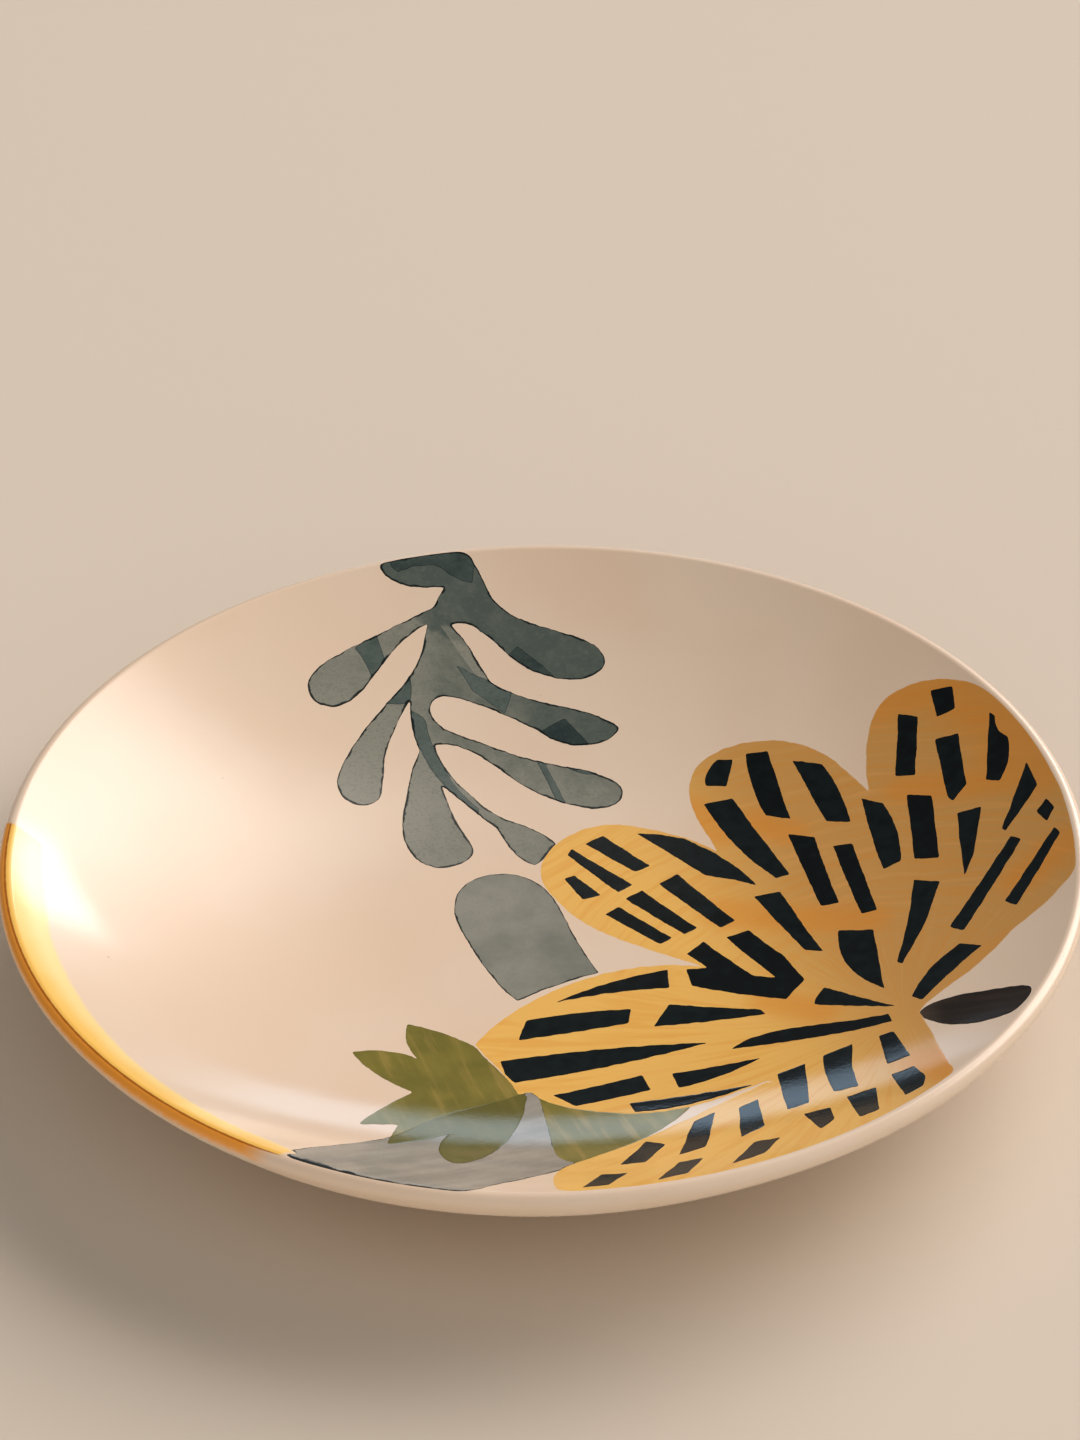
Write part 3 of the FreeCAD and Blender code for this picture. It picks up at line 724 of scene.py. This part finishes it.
def watery_paint(name, light, dark, share, outline=0.58, crossing=0.0):
    """Thinned paint: clouded, settled in grains, and pooled to an uneven dark line at its edge.

    share goes from light to dark, outline is the width of the line or a function of the paint
    that gives it, and crossing is how strong the line is where the film ends on another one.
    """
    paint = Finish(name)
    cloud = paint.math("MULTIPLY_ADD", paint.noise(2.4, 5.0), 0.55, -0.275)
    cloud = paint.math("MULTIPLY_ADD", paint.noise(7.0, 4.0), 0.9, cloud)
    tone = paint.plus(share(paint), cloud)
    colour = paint.mix(paint.fade(tone, 0.15, 1.65), light, dark)
    grains = paint.times(paint.fade(paint.noise(0.7, 3.0), 0.48, 0.72), 0.32)
    colour = paint.mix(grains, colour, dark)
    pale = paint.times(paint.fade(paint.noise(1.3, 4.0), 0.5, 0.7), 0.12)
    colour = paint.mix(pale, colour, light)
    width = paint.times(paint.fade(paint.noise(5.0, 2.0), 0.3, 0.7), 1.2)
    width = paint.plus(width, 0.35)
    width = paint.times(width, outline(paint) if callable(outline) else outline)
    beads = paint.plus(paint.times(paint.noise(1.1, 2.0), 0.7), 0.65)
    width = paint.times(width, beads)
    pooled = paint.fade(paint.math("DIVIDE", paint.number("edge"), width), 1.15, 0.65)
    colour = paint.tint(colour, POOLED, pooled, 0.92)
    if crossing:
        crossed = paint.fade(paint.number("own_edge"), 0.4, 0.2)
        colour = paint.tint(colour, POOLED, crossed, crossing)
    return paint.finish(colour, wave=0.03, wave_size=10.0, grain=0.004)


def branch_top(paint, cloud=0.0):
    """1 in the deep top of the branch and 0 below it."""
    return paint.fade(paint.plus(paint.along(0.465, 0.885), cloud), 79.2, 82.2)


def branch_paint():
    """Slate, deep and blue-green at the top of the branch and warm grey in its lower lobes."""
    def share(paint):
        cloud = paint.times(paint.noise(7.0), 3.0)
        top = branch_top(paint, cloud)
        stem = paint.times(paint.fade(paint.along(0.371, 0.928), 38.0, 66.0), 0.45)
        below = paint.fade(paint.plus(paint.along(0.371, 0.928), cloud), 62.5, 66.0)
        out = paint.fade(paint.along(1.0, 0.0), -14.0, 2.0)
        lobe = paint.times(paint.times(below, out), 0.95)
        deep = paint.most(paint.most(top, lobe), stem)
        first_lobe = paint.fade(paint.along(-1.0, 0.0), 27.0, 34.0)
        low = paint.fade(paint.along(0.0, 1.0), 116.0, 112.0)
        light = paint.times(paint.times(first_lobe, low), 0.35)
        across = paint.along(0.85, 0.527)
        wedge = paint.times(paint.fade(across, 32.6, 33.0), paint.fade(across, 36.2, 35.6))
        tall = paint.times(paint.fade(paint.along(0.0, 1.0), 84.0, 88.0),
                          paint.fade(paint.along(0.0, 1.0), 108.0, 106.5))
        light = paint.math("MULTIPLY_ADD", paint.times(wedge, tall), 0.7, light)
        return paint.minus(deep, light)
    return watery_paint("slate_paint", srgb(148, 150, 140), srgb(92, 104, 99), share)


PEAK = (6.5, 70.0, 14.7)  # the darkest patch of the branch, near the end of its fourth lobe


def second_slate():
    """Where two lobes cross, and the slate lies double."""
    def share(paint):
        off = paint.vector("LENGTH", paint.vector("SUBTRACT", paint.place, PEAK))
        peak = paint.fade(off, 9.3, 8.8)
        top = paint.times(branch_top(paint), 0.4)
        return paint.math("MULTIPLY_ADD", paint.number("tone"), 0.3, paint.plus(peak, top))
    return watery_paint("dark_slate_paint", srgb(107, 120, 116), srgb(54, 68, 68), share, crossing=0.5)


def arch_paint():
    """Warm grey with large soft clouds."""
    def share(paint):
        return paint.fade(paint.noise(25.0), 0.3, 0.7)
    return watery_paint("arch_paint", srgb(155, 156, 147), srgb(130, 134, 126), share, 0.42)


def ground_paint():
    """Grey-beige wash at the bottom rim, streaked the way it was brushed."""
    def share(paint):
        return paint.fade(paint.noise(1.0, 3.0, paint.stretched(0.86, 0.5, 30.0, 4.0)), 0.25, 0.75)

    def outline(paint):
        at_lip = paint.fade(paint.vector("LENGTH", paint.place), 132.5, 134.0)
        left = paint.fade(paint.along(1.0, 0.0), -34.0, -50.0)
        return paint.math("MULTIPLY_ADD", paint.times(at_lip, left), 0.8, 0.36)

    return watery_paint("ground_paint", srgb(172, 168, 158), srgb(150, 147, 138), share, outline)


OLIVE = srgb(138, 130, 65)
OLIVE_DEEP = srgb(122, 117, 56)
OLIVE_LIGHT = srgb(168, 148, 84)


def olive_paint(name, deep):
    """Olive with paler streaks where the brush ran dry, along the leaf."""
    paint = Finish(name)
    streak = paint.noise(1.0, 3.0, paint.stretched(0.3, -0.95, 26.0, 3.0))
    colour = paint.mix(paint.fade(paint.noise(9.0, 3.0), 0.3, 0.7), OLIVE_DEEP, OLIVE)
    colour = paint.tint(colour, OLIVE_LIGHT, paint.fade(streak, 0.5, 0.74), 0.65)
    colour = paint.tint(colour, OLIVE_DEEP, paint.fade(streak, 0.5, 0.3), 0.6)
    colour = paint.mix(deep, colour, srgb(100, 99, 52))
    wet = paint.fade(paint.plus(paint.number("edge"), paint.noise(1.2)), 0.8, 0.5)
    colour = paint.tint(colour, srgb(84, 84, 40), wet, 0.45)
    return paint.finish(colour, wave=0.03, wave_size=10.0, grain=0.006)


def dark_leaf_paint():
    """Brown-black, paler towards the hub of the flower."""
    paint = Finish("brown_paint")
    vein = paint.noise(1.0, 2.0, paint.stretched(0.94, -0.3, 22.0, 3.0))
    colour = paint.mix(paint.fade(vein, 0.4, 0.8), srgb(46, 38, 31), srgb(66, 55, 46))
    tip = paint.fade(paint.along(1.0, 0.0), 95.0, 88.0)
    colour = paint.tint(colour, srgb(104, 92, 78), tip, 0.5)
    return paint.finish(colour, grain=0.006)


def band_paint():
    """The rim's yellow, pale on the inner wall and orange where it runs down the outside: partly the
    paint's own tone, partly a painted highlight inside and painted shade over the lip.
    """
    paint = Finish("band_paint")
    travel = paint.number("travel")
    run = paint.number("run")
    cloud = paint.noise(9.0, 3.0)
    ragged = paint.noise(1.6, 3.0)
    # Partly painted highlight: the band is palest on the inner wall and grows deeper towards the lip.
    lit_pale_to_deep = paint.fade(paint.math("MULTIPLY_ADD", cloud, 3.0, travel), -4.5, 2.5)
    colour = paint.mix(lit_pale_to_deep, srgb(249, 226, 162), srgb(247, 203, 110))
    # Partly painted shade: past the dark line the band turns orange down the outside of the lip.
    over = paint.fade(travel, BAND_LINE - 0.2, BAND_LINE + 0.2)
    colour = paint.mix(over, colour, srgb(246, 170, 70))
    line = paint.math("ABSOLUTE", paint.minus(travel, BAND_LINE))
    line = paint.plus(line, paint.times(ragged, 0.25))
    colour = paint.tint(colour, srgb(168, 92, 22), paint.fade(line, 0.5, 0.22), 0.85)
    thin = paint.fade(paint.plus(travel, ragged), 3.6, 5.7)
    start = paint.fade(paint.plus(run, ragged), 1.9, 0.9)
    left = paint.minus(BAND_LENGTH, run)
    reach = paint.plus(paint.times(over, 9.0), 2.0)
    stop = paint.fade(paint.math("DIVIDE", left, reach), 1.0, 0.1)
    inside_edge = paint.fade(paint.plus(paint.number("from_start"), ragged), 1.9, 0.6)
    gone = paint.most(paint.most(thin, start), stop)
    gone = paint.most(gone, paint.times(inside_edge, 0.8))
    colour = paint.tint(colour, IVORY, gone, 0.95)
    return paint.finish(colour, wave=0.02)


# ---- clay and glaze --------------------------------------------------------

LAND_OUTER_R = 64.0
LAND_INNER_R = 59.5
SHOULDER_Z = 1.5
INNER_BEVEL = 0.8
INNER_BEVEL_Z = 1.2


def foot_section():
    """The trimmed foot, with the small steps that a turning tool leaves."""
    corners = [
        OUTER.at(OUTER.angle_at(FOOT_OUTER_R, -GLAZE_T), -GLAZE_T),
        (FOOT_OUTER_R, SHOULDER_Z),
        (LAND_OUTER_R, 0.0),
        (LAND_INNER_R, 0.0),
        (FOOT_INNER_R + INNER_BEVEL, INNER_BEVEL_Z),
        RECESS.at(RECESS.angle_at(FOOT_INNER_R, -GLAZE_T), -GLAZE_T),
    ]
    return [straight(start, end, 4) for start, end in zip(corners, corners[1:])]


# The first number of each run below is how many points it has.

def clay_body():
    """The clay, from the axis over the lip and round the foot back to the axis."""
    foot = OUTER.angle_at(FOOT_OUTER_R, -GLAZE_T)
    recess = RECESS.angle_at(FOOT_INNER_R, -GLAZE_T)
    curves = [
        joined(FLOOR.run(5, -GLAZE_T), WALL.run(20, -GLAZE_T), LIP.run(9, -GLAZE_T),
               OUTER.run(16, -GLAZE_T, OUTER.start, foot)),
        *foot_section(),
        RECESS.run(12, -GLAZE_T, recess, 0.0),
    ]
    return turned("plate_clay", curves)


def inside_glaze():
    """The coat over the well and the whole lip."""
    curves = [
        joined(FLOOR.run(20), WALL.run(66), LIP.run(24)),
        straight(LIP.at(LIP.end), LIP.at(LIP.end, -GLAZE_T)),
        joined(LIP.back(9, -GLAZE_T), WALL.back(20, -GLAZE_T), FLOOR.back(5, -GLAZE_T)),
    ]
    return turned("well_glaze", curves)


def outside_glaze():
    """The coat from under the lip down to the wiped foot."""
    foot = OUTER.angle_at(FOOT_OUTER_R + GLAZE_GAP)
    back = OUTER.angle_at(FOOT_OUTER_R + GLAZE_GAP, -GLAZE_T)
    curves = [
        OUTER.run(48, 0.0, OUTER.start, foot),
        straight(OUTER.at(foot), OUTER.at(back, -GLAZE_T)),
        OUTER.back(16, -GLAZE_T, OUTER.start, back),
        straight(OUTER.at(OUTER.start, -GLAZE_T), OUTER.at(OUTER.start)),
    ]
    return turned("outer_wall_glaze", curves)


def recess_glaze():
    """The coat inside the foot ring."""
    edge = RECESS.angle_at(FOOT_INNER_R - GLAZE_GAP)
    inner = RECESS.angle_at(FOOT_INNER_R - GLAZE_GAP, -GLAZE_T)
    curves = [
        RECESS.back(8, -GLAZE_T, inner, 0.0),
        straight(RECESS.at(inner, -GLAZE_T), RECESS.at(edge)),
        RECESS.run(24, 0.0, edge, 0.0),
    ]
    return turned("recess_glaze_coat", curves)


# ---- the band on the rim ---------------------------------------------------

BAND_TURNS = (177.2, 243.6)   # degrees round from +X, at the outer edge
BAND_STEPS = 210
BAND_ROWS = 30
BAND_CROWD = 0.35        # how much the rows crowd towards both edges
BAND_EDGE = (            # radius of the inner edge, by the share of the band's length
    (0.0, 124.7), (0.13, 123.5), (0.31, 124.2), (0.49, 125.1), (0.67, 126.4), (0.84, 127.4),
    (0.94, 127.8), (0.98, 128.4), (1.0, 130.0),
)
BAND_LENGTH = math.radians(BAND_TURNS[1] - BAND_TURNS[0]) * PLATE_R
BAND_END = 5.6           # how far over the lip it goes, from the lip's start
BAND_T = 0.12
BAND_LINE = 1.6          # where the paint pooled to a dark line on top of the lip
BAND_LEAN = 3.0          # degrees that the upper end leans towards the inner edge
BAND_TAPER = 1.5         # the same at the lower end
BAND_SEED = 5
WOBBLE_STEPS = 9         # the hand's wobble is smoothed over this many steps
INNER_WOBBLE = 0.25      # millimetres
OUTER_WOBBLE = 0.3
END_SHORTER = 2.0        # how much less far over the lip it goes at its ends
END_STEPS = 6.0          # within about this many steps


def section_at(travel, lift):
    """Points and normals of the section, travel mm on from the start of the lip."""
    lip_length = math.pi * LIP_R
    on_lip = LIP_ANGLE + math.pi - travel / LIP_R
    outside = LIP_ANGLE - (travel - lip_length) / OUTER_WALL_R
    angle = np.where(travel < lip_length, on_lip, outside)
    angle = np.where(travel < 0, LIP_ANGLE + travel / WALL_R, angle)
    out = np.stack([np.sin(angle), -np.cos(angle)], axis=-1)
    pick = np.where(travel < 0, 0, np.where(travel < lip_length, 1, 2))
    centre = np.array([WALL.centre, LIP.centre, OUTER.centre])[pick]
    radius = np.array([WALL_R, LIP_R, OUTER_WALL_R])[pick]
    side = np.array([-1.0, 1.0, 1.0])[pick]
    return centre + (radius + side * lift)[..., None] * out, side[..., None] * out


def band_edges(share):
    """How far along the section the band starts and stops, at each share of its length."""
    chance = np.random.default_rng(BAND_SEED)
    steps = chance.normal(size=BAND_STEPS + WOBBLE_STEPS - 1)
    wobble = np.convolve(steps, np.ones(WOBBLE_STEPS) / WOBBLE_STEPS, mode="valid")
    inner_r = np.interp(share, *np.transpose(BAND_EDGE)) + INNER_WOBBLE * wobble
    start = (np.arcsin((inner_r - WALL_CENTRE_R) / WALL_R) - LIP_ANGLE) * WALL_R
    stop = BAND_END + OUTER_WOBBLE * wobble[::-1]
    to_end = np.minimum(share, 1 - share) * BAND_STEPS
    stop = stop - END_SHORTER * np.exp(-to_end / END_STEPS)
    return start[:, None], stop[:, None]


def rim_band():
    """One brush load pulled round the lip: its inner edge wanders and both ends run out."""
    share = np.linspace(0.0, 1.0, BAND_STEPS)
    rows = np.linspace(0.0, 1.0, BAND_ROWS)
    crowded = 0.5 - 0.5 * np.cos(math.pi * rows)
    start, stop = band_edges(share)
    travel = start + (stop - start) * (BAND_CROWD * crowded + (1 - BAND_CROWD) * rows)
    degrees = BAND_TURNS[0] + (BAND_TURNS[1] - BAND_TURNS[0]) * share
    lean = (BAND_LEAN * (1 - share) + BAND_TAPER * share)[:, None] * (1.0 - rows)
    turn = np.radians(degrees[:, None] + lean)
    to_end = np.minimum(share, 1 - share)[:, None] * BAND_LENGTH
    gap = np.minimum(np.minimum(travel - start, stop - travel), to_end)
    short = np.clip(1.0 - gap / SOFT_EDGE, 0.0, 1.0)
    lift = -EDGE_SINK + (BAND_T + EDGE_SINK) * (1 - short**2)
    upper = [values.reshape(-1, 3) for values in spun(*section_at(travel, lift), turn)]
    lower = [values.reshape(-1, 3) for values in spun(*section_at(travel, -FILM_SINK), turn)]
    lower[1] = -lower[1]
    spot = np.arange(travel.size).reshape(travel.shape)
    plan_faces = np.stack([spot[:-1, :-1], spot[:-1, 1:], spot[1:, 1:], spot[1:, :-1]], axis=-1)
    border = [*spot[0, 1:-1], *spot[:, -1], *spot[-1, -2:0:-1], *spot[::-1, 0]]
    walls = []
    for here, there in zip(border, border[1:] + border[:1]):
        out = np.cross(upper[0][here] - upper[0][there], lower[0][here] - upper[0][here])
        walls.append([out if np.linalg.norm(out) > 1e-9 else (0.0, 0.0, -1.0)] * 4)
    solid = [], [], []
    add_closed(solid, upper, lower, plan_faces.reshape(-1, 4).tolist(), border, walls)
    run = np.broadcast_to(share[:, None] * BAND_LENGTH, travel.shape)
    numbers = {"travel": travel, "run": run, "from_start": travel - start}
    numbers = {name: np.tile(values.ravel(), 2) for name, values in numbers.items()}
    return piece_from("rim_band_paint", *solid, numbers)


# ---- second coats of the flower --------------------------------------------
# Each is a pass of the brush in plan: where it starts, where it ends, and its width.

SECOND_COATS = [
    ((90, 66), (106, 66), 6.0),
    ((106, 66), (124, 38), 6.5),
    ((118, 34), (127, 22), 6.0),
    ((94, 34), (120, 26), 4.5),
    ((45, -3), (80, -14), 5.0),
    ((55, -42), (66, -50), 4.5),
    ((39, 39), (46, 29), 4.5),
    ((55, 32), (64, 26), 4.0),
    ((118, -14), (129, -6), 5.0),
    ((88, -84), (92, -92), 5.0),
]


def add_second_coats(piece):
    """Stores how deep in a second coat each point of the flower lies, from 0 to 1."""
    mesh = piece.data
    spots = np.empty(len(mesh.vertices) * 3, dtype=np.float32)
    mesh.vertices.foreach_get("co", spots)
    plan = spots.reshape(-1, 3)[:, :2].astype(float) / MM
    depth = np.zeros(len(plan))
    for start, end, width in SECOND_COATS:
        start = np.array(start, dtype=float)
        ahead = np.array(end, dtype=float) - start
        share = np.clip((plan - start) @ ahead / (ahead @ ahead), 0.0, 1.0)
        gap = np.hypot(*(plan - start - share[:, None] * ahead).T)
        depth = np.maximum(depth, np.clip(1.0 - gap / (2 * width), 0.0, 1.0))
    coat = mesh.attributes.new("coat", "FLOAT", "POINT")
    coat.data.foreach_set("value", depth.astype(np.float32))


# ---- putting it together ---------------------------------------------------


def place(piece, node, slot, material):
    """Puts a piece on the plate's body in place of a node of the frame."""
    piece.data.materials.append(material)
    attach(piece, BODY)
    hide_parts(node)
    return piece


def make_plate():
    ivory = ivory_glaze()
    place(clay_body(), "clay_body", "clay", bare_clay())
    place(inside_glaze(), "inside_glaze", "ivory_glaze", ivory)
    place(outside_glaze(), "outside_glaze", "ivory_glaze", ivory)
    place(recess_glaze(), "recess_glaze", "ivory_glaze", ivory)
    place(rim_band(), "rim_band", "yellow_paint", band_paint())


def lay(node, slot, material, **layer):
    """Lays a film of paint in place of its node. layer is what film() takes."""
    return place(film(f"{node}_paint", node, **layer), node, slot, material)


def make_painting():
    """Every film, from the lowest up."""
    olive = olive_paint("olive_paint", 0.0)
    dark_olive = olive_paint("dark_olive_paint", 0.65)
    black = stroke_paint()
    lay("slate_ground", "grey_paint", ground_paint(), thickness=0.05, grow=0.3, reach=1.6)
    lay("leaf_branch", "slate_paint", branch_paint(), thickness=0.06, reach=1.6)
    lay("grey_arch", "grey_paint", arch_paint(), thickness=0.06)
    lay("green_leaf", "olive_paint", olive, thickness=0.07, grow=0.15)
    lay("green_frond", "olive_paint", olive, thickness=0.07, grow=0.15)
    flower = lay("flower_wash", "yellow_paint", flower_paint(), thickness=0.08, grow=0.12, reach=0.6)
    add_second_coats(flower)
    lay("dark_leaf", "brown_paint", dark_leaf_paint(), thickness=0.09, reach=0.4)
    lay("leaf_overlaps", "dark_slate_paint", second_slate(),
        base=0.05, thickness=0.06, reach=1.6, over="leaf_branch")
    lay("green_overlap", "dark_olive_paint", dark_olive,
        base=0.06, thickness=0.06, grow=0.15, over="green_leaf")
    for petal in ("top", "upper", "middle", "left", "lower"):
        lay(f"strokes_{petal}_petal", "black_paint", black, base=0.07, thickness=0.09)


# ---- studio ----------------------------------------------------------------

CAMERA_AT = (-0.0006, -0.6806, 0.542)
CAMERA_PITCH = 34.81
CAMERA_ROLL = -0.484
CAMERA_LENS = 85.0
CAMERA_SENSOR = 36.0


def make_camera():
    data = bpy.data.cameras.new("camera")
    data.lens = CAMERA_LENS
    data.sensor_width = CAMERA_SENSOR
    data.clip_start = 0.01
    camera = bpy.data.objects.new("camera", data)
    camera.location = CAMERA_AT
    camera.rotation_euler = (math.radians(90 - CAMERA_PITCH), 0.0, 0.0)
    camera.rotation_euler.rotate_axis("Z", math.radians(CAMERA_ROLL))
    bpy.context.scene.collection.objects.link(camera)
    bpy.context.scene.camera = camera


# Each light is a soft edged box in the sky: azimuth from the plate's far side towards its right
# and height above the floor, both in degrees, then half its width and height in radians, and
# how many degrees its right side is tipped up.
KEY_BOX = (46.0, 33.0, 0.45, 0.33, 0.0)
KEY_LIGHT = (5.15, 4.6, 4.28)
WINDOW_BOX = (22.0, 25.5, 0.105, 0.038, 43.0)
WINDOW_LIGHT = (3.9, 3.8, 3.7)
STRIP_BOX = (-1.0, 7.5, 0.14, 0.055, 0.0)
STRIP_LIGHT = (0.9, 1.2, 1.5)
BOX_EDGE = 5.0           # the higher, the sharper a box's edge
FRONT = (0.0, -0.9, 0.1)
FRONT_FADE = (-0.1, 0.8)
FILL_BACK = (0.13, 0.13, 0.135, 1.0)
FILL_FRONT = (0.77, 0.705, 0.64, 1.0)
BACKDROP = srgb(206, 197, 184)
TABLE = srgb(222, 213, 200)
TABLE_HALF = 6.0         # metres


def light_box(sky, way, azimuth, height, half_width, half_height, tipped):
    """1 inside a soft edged box of the sky, and 0 elsewhere."""
    turn = math.radians(azimuth)
    rise = math.radians(height)
    middle = Vector((math.cos(rise) * math.sin(turn), math.cos(rise) * math.cos(turn), math.sin(rise)))
    level = middle.cross((0.0, 0.0, 1.0)).normalized()
    upright = level.cross(middle)
    tip = math.radians(tipped)
    beside = level * math.cos(tip) + upright * math.sin(tip)
    above = upright * math.cos(tip) - level * math.sin(tip)
    off = 0.0
    for axis, reach in ((beside, half_width), (above, half_height)):
        share = sky.math("DIVIDE", sky.vector("DOT_PRODUCT", way, axis), reach)
        off = sky.plus(sky.math("POWER", sky.math("ABSOLUTE", share), BOX_EDGE), off)
    box = sky.math("EXPONENT", sky.times(off, -1.0))
    facing = sky.math("GREATER_THAN", sky.vector("DOT_PRODUCT", way, middle), 0.0)
    return sky.times(box, facing)


def make_world():
    """Soft studio light: a fill from the front, a wide key, a window and a faint low strip.

    Where the sky itself shows, above the far end of the floor, it is a plain pale backdrop.
    """
    world = bpy.data.worlds.new("studio")
    world.use_nodes = True
    sky = Shader(world.node_tree)
    way = sky.node("ShaderNodeTexCoord").outputs["Generated"]
    front = sky.fade(sky.vector("DOT_PRODUCT", way, FRONT), *FRONT_FADE)
    light = sky.mix(front, FILL_BACK, FILL_FRONT)
    for box, colour in ((KEY_BOX, KEY_LIGHT), (WINDOW_BOX, WINDOW_LIGHT), (STRIP_BOX, STRIP_LIGHT)):
        glow = sky.vector("SCALE", colour, scale=light_box(sky, way, *box))
        light = sky.vector("ADD", light, glow)
    shown = sky.node("ShaderNodeLightPath").outputs["Is Camera Ray"]
    sky.put(sky.tree.nodes["Background"].inputs["Color"], sky.mix(shown, light, BACKDROP))
    bpy.context.scene.world = world


def make_floor():
    """A pale table top, wide enough for every view."""
    mesh = bpy.data.meshes.new("floor")
    sides = ((-1, -1), (1, -1), (1, 1), (-1, 1))
    corners = [(x * TABLE_HALF, y * TABLE_HALF, 0.0) for x, y in sides]
    mesh.from_pydata(corners, [], [(0, 1, 2, 3)])
    floor = bpy.data.objects.new("floor", mesh)
    bpy.context.scene.collection.objects.link(floor)
    material = bpy.data.materials.new("floor")
    material.use_nodes = True
    surface = material.node_tree.nodes["Principled BSDF"]
    surface.inputs["Base Color"].default_value = TABLE
    surface.inputs["Roughness"].default_value = 0.8
    mesh.materials.append(material)


def make_studio():
    make_camera()
    make_world()
    make_floor()
    bpy.context.scene.view_settings.view_transform = "Standard"
    bpy.context.scene.view_settings.look = "Medium High Contrast"


make_plate()
make_painting()
make_studio()
